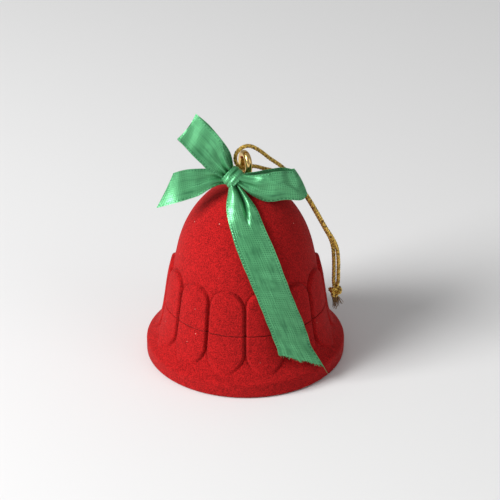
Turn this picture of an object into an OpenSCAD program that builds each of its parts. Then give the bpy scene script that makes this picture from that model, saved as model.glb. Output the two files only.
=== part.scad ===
// Bell-shaped Christmas ornament that opens at its waist like a gift box.
// Two flocked shells meet on a parting line, hinged at the back. The lid carries
// a gold eyelet, a tied ribbon bow and a hanging cord; the base holds a ring cushion.
// The origin is the middle of the underside. +Z is up and -Y is the front.

/* [Bell] */
// Radius of the foot at the table
foot_r = 30; // [28:0.5:32]
// Height of the crown of the dome, without the eyelet
crown_z = 55.5; // [54:0.5:57.5]
// Thickness of the moulded walls
wall = 1.8; // [1.6:0.1:2]
// Height of the parting line between base and lid
seam_z = 17.2; // [16.8:0.1:17.6]

/* [Petals] */
// Number of raised petals round the waist
petal_count = 13; // [12:1:14]
// How far the petals stand out of the wall
petal_relief = 0.7; // [0.5:0.1:0.8]
// Width of the groove between two petals
groove_w = 0.7; // [0.5:0.1:1.2]

/* [Hinge] */
// Length of the hinge barrel
hinge_w = 10; // [9:0.5:10.5]
// Radius of the hinge pin
pin_r = 0.5; // [0.4:0.05:0.6]
// Running clearance between the pin and the lid's knuckle
pin_gap = 0.05; // [0.03:0.01:0.08]

/* [Eyelet] */
// Radius of the gold wire
eyelet_wire_r = 1.05; // [0.9:0.05:1.1]
// Radius of the ring's round ends, to the middle of its wire
eyelet_ring_r = 2.5; // [2.4:0.1:2.6]

/* [Soft parts] */
// Thickness of the ribbon
ribbon_t = 0.5; // [0.4:0.1:0.6]
// Diameter of the hanging cord
cord_d = 1.2; // [1:0.1:1.3]
// Width of the slot between the two ring pads
slot_w = 1; // [0.6:0.1:1.6]

/* [Hidden] */
$fn = 64;

// Outline of the bell's wall without its petals, as [radius, height] from crown to foot.
wide = foot_r / 30;
tall = crown_z / 55.5;
bell_marks = [for (p = [[0, 55.5], [5.2, 54.6], [10.5, 51.8], [14.8, 47.1], [17.7, 42.2], [19.6, 37.2],
    [20.9, 31.6], [22.4, 24.5], [23.5, 17.2], [24.4, 12], [25.6, 8.8], [27, 6.8], [28.5, 5.5]])
    [p[0] * wide, p[1] * tall]];
foot_edge = 0.5;
foot_band_z = 4.8 * tall;
foot_marks = [[foot_r - 0.5, foot_band_z], [foot_r, foot_band_z - foot_edge], [foot_r, foot_edge],
    [foot_r - foot_edge, 0]];

// Catmull-Rom curve through a list of points, with n steps between two of them.
function blend(a, b, c, d, t) = (2 * b + (c - a) * t + (2 * a - 5 * b + 4 * c - d) * t * t
    + (3 * b - a - 3 * c + d) * t * t * t) / 2;
function curve(p, n) = let (last = len(p) - 1) concat(
    [for (i = [0:last - 1], k = [0:n - 1])
        blend(p[max(i - 1, 0)], p[i], p[i + 1], p[min(i + 2, last)], k / n)],
    [p[last]]);
function unit(v) = v / norm(v);

// The wall's outline moved outwards by d, square to itself.
bell_line = curve(bell_marks, 3);
function moved(line, d) = let (last = len(line) - 1) [for (i = [0:last])
    let (t = i == 0 ? [1, 0] : unit(line[min(i + 1, last)] - line[i - 1]))
    [max(line[i][0] - d * t[1], 0), line[i][1] + d * t[0]]];
function top_part(line, z) = [for (p = line) if (p[1] > z + 0.05) p];
function low_part(line, z) = [for (p = line) if (p[1] < z - 0.05) p];
function heights(line) = [for (i = [len(line) - 1:-1:0]) [line[i][1], line[i][0]]];
function radius_at(line, z) = lookup(z, heights(line));

inner_line = moved(bell_line, -wall);
petal_line = moved(bell_line, petal_relief);
root_line = moved(bell_line, -wall / 2);
seam_r = radius_at(bell_line, seam_z);
seam_inner_r = radius_at(inner_line, seam_z);

// Petals: a tall rounded outline that the parting line cuts in two.
petal_top_z = 30.4 * tall;
petal_low_z = 6 * tall;
petal_pitch = 360 / petal_count;
petal_top_r = PI * 22.4 * wide / petal_count - groove_w / 2;
petal_low_r = PI * 24.7 * wide / petal_count - groove_w / 2;

// Base: underside disc, tray and the two halves of the ring cushion.
plate_r = foot_r - 2.4;
plate_t = 1.2;
tray_r = 20.6;
tray_wall = 1;
tray_top_z = seam_z - 0.6;
pad_gap = 0.2;
pad_edge = 1.4;

// Lid: lining under the shell, open round the nut.
liner_t = 0.8;
liner_low_z = seam_z + 0.5;
liner_hole_r = 4.5;

// Hinge: its axis lies in the parting plane, just behind the petals.
barrel_r = 1.3;
hinge_y = seam_r + 0.5;
hinge_z = seam_z;
leaf_t = 0.6;
leaf_y = hinge_y - 1.7;
leaf_h = 4.7;
lid_leaf_h = 3.6;
notch_w = hinge_w + 0.8;
notch_h = 1.7;
knuckle_w = hinge_w * 0.3;
knuckle_gap = 0.2;

// Eyelet: a long ring turned a little from facing sideways, on a threaded shank.
eyelet_turn = 24;
eyelet_straight = 1.4;
eyelet_z = crown_z + 6.2;
shank_low_z = crown_z - 5;
collar_r = 3;
nut_r = 2.6;
nut_h = 2;
nut_z = crown_z - wall - nut_h - 0.5;

// Ribbon: [upper or right edge point, lower or left edge point] at each station.
band_r = 2.2;
knot_at = [-3.5, -5.2, 59.9];
knot_r = 2.2;
knot_half = 1.3;
loop_left = [
    [[-3.5, -4.6, 61.5], [-4.7, -5.2, 58.5]], [[-5.4, -5.4, 64.5], [-7.3, -6.2, 60.6]],
    [[-7, -5, 68.1], [-10.1, -6.4, 62.5]], [[-8, -4.2, 71.5], [-13.3, -6.2, 65.3]],
    [[-10.4, -3, 74.8], [-16.1, -5, 67.9]], [[-13.5, -1.4, 77.6], [-18.9, -3.4, 70.5]],
    [[-13.9, -0.2, 77.4], [-19.2, -2.2, 70.1]], [[-10.5, 0.8, 73.8], [-16, -1.8, 66.5]],
    [[-6.3, 0.8, 68.2], [-13.1, -2.8, 63.5]], [[-4.4, 0.4, 65.1], [-10.7, -3.8, 61.3]],
    [[-3.6, -1.6, 62.5], [-7.1, -4.2, 59.5]], [[-3.1, -3.8, 60.9], [-4.7, -4.5, 58.5]]];
loop_right = [
    [[-2.4, -5.8, 61], [-2.4, -6.2, 58.5]], [[2.8, -7, 61.4], [1.3, -7.4, 55.6]],
    [[7.3, -7.6, 62.5], [5.8, -7.8, 53.4]], [[10.5, -7, 62.5], [11.7, -7.6, 53.8]],
    [[13.5, -4.6, 61.6], [16.3, -6, 52.9]], [[14.1, -2.8, 61.4], [18.1, -4.4, 53.9]],
    [[13.3, -1.4, 60.7], [16.7, -3.4, 53.3]], [[10.2, -1.6, 61.2], [11.7, -3.4, 53.9]],
    [[5.6, -3, 61.1], [6.2, -4.4, 55.6]], [[-1.8, -4.9, 60.7], [-1.8, -5.3, 58.1]]];
tail_left = [
    [[-4.9, -4.5, 59.9], [-4.7, -5, 57.4]], [[-7.3, -4.6, 61], [-7.1, -5.6, 57.7]],
    [[-9.7, -4.8, 62.2], [-10.3, -6.8, 56.8]], [[-13, -5.2, 62.6], [-13.4, -7.6, 55.1]],
    [[-16.1, -5.6, 62.6], [-17, -8.2, 54]], [[-18.6, -5.6, 62.1], [-20.9, -8.2, 52.8]],
    [[-20.8, -5, 61.1], [-25.7, -7.4, 51]]];
tail_front = [
    [[-2.4, -6.2, 58.7], [-4.5, -6.2, 58.1]], [[0, -7.6, 56], [-4.9, -7.4, 55.7]],
    [[3.2, -10.6, 52.5], [-5.4, -10.4, 52.4]], [[5.6, -14.2, 48], [-4.3, -14.8, 48]],
    [[8.6, -17, 41.9], [-2.2, -18.6, 42.4]], [[11.3, -18.8, 34.8], [0.8, -21.8, 35.9]],
    [[14.1, -19.4, 27], [3.8, -23.6, 28.8]], [[17.2, -19.2, 18.6], [6.7, -24.8, 21.2]],
    [[19.5, -20.1, 11.6], [9.1, -25.4, 14.6]], [[23.1, -21.5, 5.8], [9.8, -26, 12.3]]];

// Cord: both strands run from inside the eyelet to one knot at the right.
cord_knot_at = [27, 0.4, 18.8];
cord_knot_r = 2.2;
cord_upper_route = [[0, 0, 60.3], [-1.9, -0.9, 61.2], [-2.9, -1.3, 63.5], [-2.4, -1, 65.8],
    [-0.5, -0.1, 67.1], [1.6, 0.8, 66.9], [4.2, 1.8, 65], [7.2, 2.8, 62], [10.7, 3.7, 58.9],
    [14.3, 3.4, 55.2], [18.1, 2.2, 50.2], [21.1, 1.2, 45.3], [23.7, 0.4, 40.6], [26, 0, 36.8],
    [27.2, -0.1, 33.9], [27.7, -0.1, 30.2], [27.8, 0, 25.8], [27.8, 0.1, 22.5], [27.4, 0.2, 20.5]];
cord_lower_route = [[0, 0, 60.3], [1.3, 0.6, 60.5], [3, 1.4, 60.1], [5.4, 2.7, 58.8],
    [9.5, 4.8, 56.6], [13.9, 4.8, 54.2], [17.8, 3.6, 49.4], [20.8, 2.6, 44.5], [23.4, 1.8, 39.8],
    [25.2, 1.3, 36.5], [26.1, 1, 33.4], [26.4, 0.7, 29.7], [26.5, 0.6, 25.8], [26.5, 0.7, 22.5],
    [26.7, 0.6, 20.5]];
cord_end_routes = [
    [[26.8, -0.5, 16.9], [27.2, -1, 15.2], [27, -1.2, 13.5]],
    [[27.4, 1, 16.9], [28.1, 1.5, 15.3], [28.3, 1.6, 13.7]]];

// Strip of ribbon through its stations, bowed across its width by bow.
module strip(stations, bow) {
    right = curve([for (s = stations) s[0]], 3);
    left = curve([for (s = stations) s[1]], 3);
    last = len(right) - 1;
    half = ribbon_t / 2;
    normals = [for (i = [0:last])
        unit(cross(right[min(i + 1, last)] + left[min(i + 1, last)]
            - right[max(i - 1, 0)] - left[max(i - 1, 0)], right[i] - left[i]))];
    rings = [for (i = [0:last]) let (n = normals[i], middle = (right[i] + left[i]) / 2 + n * bow)
        [right[i] + n * half, middle + n * half, left[i] + n * half,
            left[i] - n * half, middle - n * half, right[i] - n * half]];
    skin(rings);
}

// Closed solid through rings that all have the same number of points.
module skin(rings) {
    n = len(rings[0]);
    m = len(rings);
    points = [for (r = rings) each r];
    sides = [for (i = [0:m - 2], k = [0:n - 1]) let (a = i * n + k, b = i * n + (k + 1) % n)
        each [[a, b, a + n], [b, b + n, a + n]]];
    polyhedron(points, concat(sides, [[for (k = [n - 1:-1:0]) k]],
        [[for (k = [0:n - 1]) (m - 1) * n + k]]));
}

// Round tube along a route that never runs straight along Y.
module tube(route, r) {
    line = curve(route, 2);
    last = len(line) - 1;
    skin([for (i = [0:last])
        let (t = unit(line[min(i + 1, last)] - line[max(i - 1, 0)]),
            u = unit(cross(t, [0, 1, 0])), v = cross(u, t))
        [for (a = [0:45:315]) line[i] + r * (cos(a) * u + sin(a) * v)]]);
}

module petal_outline() {
    top = petal_top_z - petal_top_r;
    low = petal_low_z + petal_low_r;
    translate([0, top]) circle(petal_top_r);
    translate([0, low]) circle(petal_low_r);
    polygon([[-petal_top_r, top], [petal_top_r, top], [petal_low_r, low], [-petal_low_r, low]]);
}

// Raised petals between two heights, with a groove at the front centre.
module petals(low, high) {
    intersection() {
        rotate_extrude() intersection() {
            polygon(concat(petal_line, [for (i = [len(root_line) - 1:-1:0]) root_line[i]]));
            translate([0, low]) square([2 * foot_r, high - low]);
        }
        for (i = [0:petal_count - 1])
            rotate((i + 0.5) * petal_pitch) translate([0, -20, 0]) rotate([90, 0, 0])
                linear_extrude(foot_r) petal_outline();
    }
}

// Recess at the back for the barrel, and the pockets of the two leaves.
module hinge_recess() {
    translate([-notch_w / 2, leaf_y - 1, hinge_z - notch_h])
        cube([notch_w, 10, 2 * notch_h]);
    leaf_plate(-leaf_h, lid_leaf_h);
}

module leaf_plate(low, high) {
    translate([-hinge_w / 2, leaf_y, hinge_z + low]) cube([hinge_w, leaf_t, high - low]);
}

module barrel(x, w, bore) {
    translate([x, hinge_y, hinge_z]) rotate([0, 90, 0]) difference() {
        cylinder(r = barrel_r, h = w);
        translate([0, 0, -1]) cylinder(r = bore, h = w + 2);
    }
}

module base_shell() {
    color("firebrick") difference() {
        union() {
            rotate_extrude() polygon(concat([[seam_r, seam_z]], low_part(bell_line, seam_z),
                foot_marks, [[plate_r, 0], [plate_r, foot_band_z - 0.6]],
                [for (p = heights(low_part(inner_line, seam_z))) if (p[0] > foot_band_z) [p[1], p[0]]],
                [[seam_inner_r, seam_z]]));
            petals(0, seam_z);
        }
        hinge_recess();
    }
}

module base_plate() {
    color("maroon") cylinder(r = plate_r, h = plate_t);
}

module pad_tray() {
    floor_z = plate_t;
    lip_z = tray_top_z - tray_wall;
    color("ivory") rotate_extrude() polygon([[0, floor_z], [tray_r, floor_z],
        [tray_r, lip_z], [radius_at(inner_line, lip_z), lip_z],
        [radius_at(inner_line, tray_top_z), tray_top_z], [tray_r - tray_wall, tray_top_z],
        [tray_r - tray_wall, floor_z + tray_wall], [0, floor_z + tray_wall]]);
}

// One half of the cushion, with a rolled edge all round its top.
module ring_pad() {
    r = tray_r - tray_wall - pad_gap;
    low = plate_t + tray_wall;
    high = seam_z - 0.9;
    color("ivory") intersection() {
        rotate_extrude() {
            translate([0, low]) square([r, high - low - pad_edge]);
            translate([0, low]) square([r - pad_edge, high - low]);
            translate([r - pad_edge, high - pad_edge]) circle(pad_edge);
        }
        rotate([90, 0, 90]) translate([0, 0, -r]) linear_extrude(2 * r) {
            translate([slot_w / 2, 0]) square([r, high - pad_edge]);
            translate([slot_w / 2 + pad_edge, 0]) square([r, high]);
            translate([slot_w / 2 + pad_edge, high - pad_edge]) circle(pad_edge);
        }
    }
}

module ring_pad_front() {
    mirror([0, 1, 0]) ring_pad();
}

module ring_pad_back() {
    ring_pad();
}

module hinge_leaf_base() {
    color("silver") {
        leaf_plate(-leaf_h, -notch_h);
        for (side = [0, 1]) mirror([side, 0, 0]) difference() {
            union() {
                barrel(hinge_w / 2 - knuckle_w, knuckle_w, pin_r);
                translate([hinge_w / 2 - knuckle_w, leaf_y, hinge_z - notch_h])
                    cube([knuckle_w, leaf_t, notch_h]);
            }
            translate([0, hinge_y, hinge_z]) rotate([0, 90, 0])
                cylinder(r = pin_r, h = hinge_w);
        }
    }
}

module hinge_pin() {
    color("silver") translate([-hinge_w / 2, hinge_y, hinge_z]) rotate([0, 90, 0])
        cylinder(r = pin_r, h = hinge_w);
}

module hinge_leaf_lid() {
    w = hinge_w - 2 * knuckle_w - 2 * knuckle_gap;
    color("silver") difference() {
        union() {
            leaf_plate(notch_h, lid_leaf_h);
            translate([-w / 2, leaf_y, hinge_z]) cube([w, leaf_t, notch_h]);
            barrel(-w / 2, w, pin_r + pin_gap);
        }
        translate([-w, hinge_y, hinge_z]) rotate([0, 90, 0])
            cylinder(r = pin_r + pin_gap, h = 2 * w);
    }
}

module lid_shell() {
    color("firebrick") difference() {
        union() {
            rotate_extrude() polygon(concat(top_part(bell_line, seam_z),
                [[seam_r, seam_z], [seam_inner_r, seam_z]],
                [for (p = heights(top_part(inner_line, seam_z))) [p[1], p[0]]]));
            petals(seam_z, crown_z);
        }
        hinge_recess();
        translate([0, 0, crown_z - 2 * wall]) cylinder(r = eyelet_wire_r, h = 4 * wall);
    }
}

module lid_liner() {
    lining = moved(inner_line, -liner_t);
    low_r = radius_at(inner_line, liner_low_z);
    color("ivory") rotate_extrude() difference() {
        polygon(concat(top_part(inner_line, liner_low_z), [[low_r, liner_low_z],
            [low_r - liner_t, liner_low_z]],
            [for (p = heights(top_part(lining, liner_low_z))) [p[1], p[0]]]));
        translate([0, liner_low_z]) square([liner_hole_r, crown_z]);
    }
}

module eyelet() {
    color("gold") {
        translate([0, 0, eyelet_z]) rotate([90, 0, 90 + eyelet_turn]) {
            for (end = [0, 1]) mirror([0, end, 0]) translate([0, eyelet_straight / 2, 0])
                rotate_extrude(angle = 180) translate([eyelet_ring_r, 0]) circle(eyelet_wire_r, $fn = 32);
            for (side = [-1, 1]) translate([side * eyelet_ring_r, eyelet_straight / 2, 0])
                rotate([90, 0, 0]) cylinder(r = eyelet_wire_r, h = eyelet_straight, $fn = 32);
        }
        translate([0, 0, shank_low_z])
            cylinder(r = eyelet_wire_r, h = eyelet_z - eyelet_straight / 2 - eyelet_ring_r - shank_low_z);
    }
}

module eyelet_collar() {
    color("gold") rotate_extrude() polygon([[eyelet_wire_r, crown_z], [collar_r, crown_z],
        [collar_r - 0.4, crown_z + 0.5], [eyelet_wire_r, crown_z + 0.9]]);
}

module eyelet_nut() {
    color("gold") translate([0, 0, nut_z]) difference() {
        cylinder(r = nut_r, h = nut_h, $fn = 6);
        translate([0, 0, -1]) cylinder(r = eyelet_wire_r, h = nut_h + 2);
    }
}

// The ribbon round the shank, with the gathered neck that runs from it to the knot.
module ribbon_band() {
    low = crown_z + 1;
    neck = knot_at - [0, 0, low + 1.5];
    color("mediumseagreen") {
        rotate_extrude() polygon([[eyelet_wire_r, low], [band_r, low + 0.3],
            [band_r, low + 1.7], [eyelet_wire_r, low + 2]]);
        translate([0, 0, low + 1.5]) rotate([0, acos(neck[2] / norm(neck)), atan2(neck[1], neck[0])])
            translate([0, 0, 1.6]) cylinder(r = 1.1, h = norm(neck) - 3);
    }
}

// The knot is a short barrel tipped to face up and forwards.
module ribbon_knot() {
    edge = 0.8;
    color("mediumseagreen") translate(knot_at) rotate([0, 90, 20]) rotate_extrude() {
        translate([0, -knot_half]) square([knot_r, 2 * knot_half]);
        translate([0, -knot_half - edge]) square([knot_r - edge, 2 * (knot_half + edge)]);
        for (z = [-knot_half, knot_half]) translate([knot_r - edge, z]) circle(edge, $fn = 32);
    }
}

module ribbon_loop_left() {
    color("mediumseagreen") strip(loop_left, 0.4);
}

module ribbon_loop_right() {
    color("seagreen") strip(loop_right, 0.4);
}

module ribbon_tail_left() {
    color("mediumseagreen") strip(tail_left, 0.3);
}

module ribbon_tail_front() {
    color("mediumseagreen") strip(tail_front, 0.5);
}

module cord_upper() {
    color("goldenrod") tube(cord_upper_route, cord_d / 2);
}

module cord_lower() {
    color("goldenrod") tube(cord_lower_route, cord_d / 2);
}

module cord_knot() {
    color("goldenrod") translate(cord_knot_at) sphere(cord_knot_r, $fn = 32);
}

module cord_ends() {
    color("saddlebrown") for (route = cord_end_routes) tube(route, cord_d / 2);
}

base_shell();
base_plate();
pad_tray();
ring_pad_front();
ring_pad_back();
hinge_leaf_base();
hinge_pin();
hinge_leaf_lid();
lid_shell();
lid_liner();
eyelet();
eyelet_collar();
eyelet_nut();
ribbon_band();
ribbon_knot();
ribbon_loop_left();
ribbon_loop_right();
ribbon_tail_left();
ribbon_tail_front();
cord_upper();
cord_lower();
cord_knot();
cord_ends();
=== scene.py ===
"""Looks of the bell-shaped ornament box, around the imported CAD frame.

Shapes are worked out in millimetres, in the frame's own axes, and become metres in make_piece().
"""
import math
import random

import bmesh
import bpy
import numpy as np
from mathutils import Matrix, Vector


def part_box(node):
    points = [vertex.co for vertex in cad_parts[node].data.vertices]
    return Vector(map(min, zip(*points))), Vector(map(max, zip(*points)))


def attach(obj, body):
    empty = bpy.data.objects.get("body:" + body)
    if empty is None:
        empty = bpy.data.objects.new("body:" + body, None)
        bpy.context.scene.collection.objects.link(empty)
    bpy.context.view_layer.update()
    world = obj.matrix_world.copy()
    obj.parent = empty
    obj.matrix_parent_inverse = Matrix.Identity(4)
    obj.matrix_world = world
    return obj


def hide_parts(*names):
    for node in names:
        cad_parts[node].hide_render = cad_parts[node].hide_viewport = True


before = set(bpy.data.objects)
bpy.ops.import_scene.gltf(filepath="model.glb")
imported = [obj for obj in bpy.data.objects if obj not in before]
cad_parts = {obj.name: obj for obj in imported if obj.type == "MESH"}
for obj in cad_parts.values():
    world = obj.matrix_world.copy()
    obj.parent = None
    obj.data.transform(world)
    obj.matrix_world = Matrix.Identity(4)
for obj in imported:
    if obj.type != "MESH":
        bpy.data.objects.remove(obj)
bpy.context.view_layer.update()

MM = 0.001

# Sizes read from the frame, in millimetres
FOOT_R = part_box("base_shell")[1].x / MM
CROWN_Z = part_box("lid_shell")[1].z / MM
SEAM_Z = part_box("lid_shell")[0].z / MM
PLATE_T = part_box("base_plate")[1].z / MM
PLATE_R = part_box("base_plate")[1].x / MM
TRAY_TOP_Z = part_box("pad_tray")[1].z / MM
PAD_TOP_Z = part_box("ring_pad_back")[1].z / MM
PAD_LOW_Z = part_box("ring_pad_back")[0].z / MM
PAD_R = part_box("ring_pad_back")[1].x / MM
COLLAR_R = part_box("eyelet_collar")[1].x / MM
HINGE_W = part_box("hinge_pin")[1].x / MM * 2
HINGE_Y = (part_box("hinge_pin")[0].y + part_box("hinge_pin")[1].y) / 2 / MM
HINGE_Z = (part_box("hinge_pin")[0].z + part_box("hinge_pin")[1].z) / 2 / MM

# Sizes that match the CAD but that no box of the frame shows, in millimetres
TRAY_R = 20.6
WALL = 1.8


# ---------------------------------------------------------------- camera and stage

CAMERA_DISTANCE = 0.6
CAMERA_ELEVATION = math.radians(28.4)
CAMERA_LENS = 144.8
LOOK_AT = Vector((0, 0, 30 * MM))
CAMERA_ASIDE = 1.38 * MM
CAMERA_UP = 2.75 * MM


def add_camera():
    """A camera in front, looking down, set a little off the bell's middle as the picture is framed."""
    data = bpy.data.cameras.new("camera")
    data.lens = CAMERA_LENS
    data.sensor_width = 36
    data.clip_start = 0.01
    camera = bpy.data.objects.new("camera", data)
    back = Vector((0, -math.cos(CAMERA_ELEVATION), math.sin(CAMERA_ELEVATION)))
    up = Vector((0, math.sin(CAMERA_ELEVATION), math.cos(CAMERA_ELEVATION)))
    target = LOOK_AT + Vector((CAMERA_ASIDE, 0, 0)) + up * CAMERA_UP
    camera.location = target + back * CAMERA_DISTANCE
    camera.rotation_euler = (-back).to_track_quat("-Z", "Y").to_euler()
    bpy.context.scene.collection.objects.link(camera)
    bpy.context.scene.camera = camera


def add_light(name, position, width, power, colour=(1, 1, 1)):
    """A square soft light that shines on the bell's middle."""
    data = bpy.data.lights.new(name, "AREA")
    data.size = width
    data.energy = power
    data.color = colour
    light = bpy.data.objects.new(name, data)
    light.location = position
    light.rotation_euler = (LOOK_AT - Vector(position)).to_track_quat("-Z", "Y").to_euler()
    bpy.context.scene.collection.objects.link(light)


def add_stage():
    """Pale floor, soft studio light from the upper left, and an even pale surround."""
    bpy.ops.mesh.primitive_plane_add(size=6, location=(0, 0, -0.0002))
    floor = bpy.context.object
    floor.name = "floor"
    paint = Paint("floor_paper", {"Base Color": (0.72, 0.72, 0.72, 1), "Roughness": 0.9})
    floor.data.materials.append(paint.material)
    add_light("key", (-0.74, -0.36, 0.54), 0.5, 14.5)
    add_light("fill", (0.7, -0.5, 0.4), 0.6, 1.2)
    world = bpy.data.worlds.new("surround")
    world.use_nodes = True
    world.node_tree.nodes["Background"].inputs["Color"].default_value = (1, 1, 1, 1)
    world.node_tree.nodes["Background"].inputs["Strength"].default_value = 0.36
    bpy.context.scene.world = world
    bpy.context.scene.view_settings.view_transform = "Standard"


# ---------------------------------------------------------------- materials

class Paint:
    """A procedural material that is built up step by step."""

    def __init__(self, name, settings):
        self.material = bpy.data.materials.new(name)
        self.material.use_nodes = True
        self.tree = self.material.node_tree
        self.shader = self.tree.nodes["Principled BSDF"]
        for socket, value in settings.items():
            self.shader.inputs[socket].default_value = value

    def add(self, kind, inputs, **settings):
        step = self.tree.nodes.new(kind)
        for key, value in settings.items():
            setattr(step, key, value)
        for key, value in inputs.items():
            if isinstance(value, bpy.types.NodeSocket):
                self.tree.links.new(value, step.inputs[key])
            else:
                step.inputs[key].default_value = value
        return step

    def place(self):
        """Position on the piece, in metres."""
        return self.add("ShaderNodeTexCoord", {}).outputs["Object"]

    def across_and_along(self):
        """The two sockets of the piece's own measured coordinates, in millimetres."""
        split = self.add("ShaderNodeSeparateXYZ", {"Vector": self.add("ShaderNodeUVMap", {}).outputs["UV"]})
        return split.outputs["X"], split.outputs["Y"]

    def math(self, operation, a, b=0.0, clamp=False):
        return self.add("ShaderNodeMath", {0: a, 1: b}, operation=operation, use_clamp=clamp).outputs[0]

    def between(self, value, low, high):
        """0 below low, 1 above high, and smooth between them."""
        return self.add("ShaderNodeMapRange", {"Value": value, "From Min": low, "From Max": high},
                        interpolation_type="SMOOTHSTEP").outputs["Result"]

    def noise(self, vector, size, detail=2.0):
        """Noise from 0 to 1 whose features are about size millimetres across."""
        return self.add("ShaderNodeTexNoise", {"Vector": vector, "Scale": 1 / (size * MM), "Detail": detail}
                        ).outputs["Fac"]

    def stretched(self, vector, factors):
        return self.add("ShaderNodeVectorMath", {0: vector, 1: factors}, operation="MULTIPLY").outputs[0]

    def mix(self, factor, a, b):
        return self.add("ShaderNodeMix", {0: factor, 6: a, 7: b}, data_type="RGBA").outputs[2]

    def colour(self, value):
        self.tree.links.new(value, self.shader.inputs["Base Color"])

    def rough(self, value):
        self.tree.links.new(value, self.shader.inputs["Roughness"])

    def bump(self, height, depth):
        """Surface relief that is depth millimetres deep."""
        step = self.add("ShaderNodeBump", {"Height": height, "Distance": depth * MM, "Strength": 1.0})
        self.tree.links.new(step.outputs["Normal"], self.shader.inputs["Normal"])


def flock(name, dark, light, speck=None):
    """Short upright fibres: a fine mottled grain, soft patches and a few pale specks."""
    paint = Paint(name, {"Roughness": 1.0, "Specular IOR Level": 0.15, "Sheen Weight": 0.18,
                         "Sheen Roughness": 0.4, "Sheen Tint": (1, 0.3, 0.28, 1)})
    place = paint.place()
    grain = paint.noise(place, 0.3, 3)
    patches = paint.noise(place, 1.6, 2)
    shade = paint.math("ADD", paint.math("MULTIPLY", grain, 0.85), paint.math("MULTIPLY", patches, 0.15))
    colour = paint.mix(paint.between(shade, 0.34, 0.66), dark, light)
    if speck:
        cells = paint.add("ShaderNodeTexVoronoi", {"Vector": place, "Scale": 1 / (2.4 * MM)})
        rare = paint.between(paint.add("ShaderNodeSeparateXYZ", {"Vector": cells.outputs["Color"]}
                                       ).outputs["X"], 0.80, 0.82)
        near = paint.math("SUBTRACT", 1.0, paint.between(cells.outputs["Distance"], 0.04, 0.09))
        colour = paint.mix(paint.math("MULTIPLY", paint.math("MULTIPLY", rare, near), 0.55), colour, speck)
    paint.colour(colour)
    paint.bump(grain, 0.12)
    return paint.material


def satin_ribbon(name, dark, light, sheen):
    """Woven satin ribbon: faint rows of thread and dotted lines beside its edges, with painted sheen:
    lengthwise streaks and soft patches that lighten the colour as painted highlights.
    """
    paint = Paint(name, {"Metallic": 0.45, "Roughness": 0.33, "Specular IOR Level": 1.0,
                         "Specular Tint": sheen, "Anisotropic": 0.3, "Sheen Weight": 0.12,
                         "Sheen Roughness": 0.3, "Sheen Tint": sheen})
    across, along = paint.across_and_along()
    turn = 2 * math.pi / 0.62
    rows = paint.math("SINE", paint.math("MULTIPLY", along, turn))
    columns = paint.math("SINE", paint.math("MULTIPLY", across, turn))
    weave = paint.between(paint.math("MAXIMUM", columns, rows), -0.6, 0.5)
    # Soft patches: they show the weave, and below they also lighten the colour as painted highlight.
    patches = paint.noise(paint.place(), 3.2, 2)
    shown = paint.between(patches, 0.35, 0.62)
    holes = paint.math("MULTIPLY", paint.math("SUBTRACT", 1.0, weave), shown)
    painted_sheen_streaks = paint.noise(paint.stretched(paint.add("ShaderNodeUVMap", {}).outputs["UV"],
                                          (MM, MM * 0.06, 1)), 0.5, 3)
    # Painted sheen: the lengthwise streaks and the soft patches mix the colour from dark to light as painted
    # highlights of the satin.
    shade = paint.math("ADD", paint.math("MULTIPLY", painted_sheen_streaks, 0.5), paint.math("MULTIPLY", patches, 0.5))
    colour = paint.mix(paint.between(shade, 0.2, 0.62), dark, light)
    colour = paint.mix(paint.math("MULTIPLY", holes, 0.85), colour, dark)
    edge = paint.math("SUBTRACT", 5.0, paint.math("ABSOLUTE", paint.math("SUBTRACT", across, 5.0)))
    line = paint.math("MULTIPLY", paint.between(edge, 0.25, 0.35),
                      paint.math("SUBTRACT", 1.0, paint.between(edge, 0.55, 0.7)))
    dots = paint.between(paint.math("SINE", paint.math("MULTIPLY", along, 2 * math.pi / 0.95)), -0.5, 0.6)
    stitched = paint.mix(dots, dark, light)
    paint.colour(paint.mix(paint.math("MULTIPLY", line, 0.9), colour, stitched))
    paint.bump(paint.math("ADD", weave, paint.math("MULTIPLY", line, dots)), 0.03)
    return paint.material


def yarn(name, dark, light, metallic, roughness):
    """Twisted yarn: fine slanting filaments, with painted shade on the inner side of each ply, where one ply
    meets the next.
    """
    paint = Paint(name, {"Metallic": metallic, "Roughness": roughness})
    around, along = paint.across_and_along()
    slant = paint.math("ADD", paint.math("MULTIPLY", around, 4 * math.pi),
                       paint.math("MULTIPLY", along, 2 * math.pi / 0.3))
    filaments = paint.between(paint.math("SINE", slant), -1.0, 0.8)
    # Painted shade: the inner side of each ply, where it meets the next ply, is mixed towards the dark
    # colour.
    outside = paint.between(paint.math("ABSOLUTE", paint.math("SUBTRACT", around, 0.5)), 0.12, 0.3)
    patches = paint.between(paint.noise(paint.place(), 0.7, 2), 0.3, 0.55)
    share = paint.math("MULTIPLY", paint.math("MULTIPLY", outside, patches),
                       paint.math("ADD", 0.45, paint.math("MULTIPLY", filaments, 0.55)))
    paint.colour(paint.mix(share, dark, light))
    paint.bump(filaments, 0.03)
    return paint.material


def polished(name, colour, roughness, grain=0.25):
    """Plated metal with faint rubbing marks and slightly uneven gloss."""
    paint = Paint(name, {"Metallic": 1.0, "Base Color": colour})
    place = paint.place()
    marks = paint.noise(paint.stretched(place, (1, 1, 0.15)), grain, 3)
    cloud = paint.noise(place, 1.6, 2)
    tint = tuple(c * 0.72 for c in colour[:3]) + (1,)
    paint.colour(paint.mix(paint.between(cloud, 0.3, 0.75), tint, colour))
    paint.rough(paint.math("ADD", roughness, paint.math("MULTIPLY", marks, 0.14)))
    paint.bump(marks, 0.004)
    return paint.material


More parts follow.
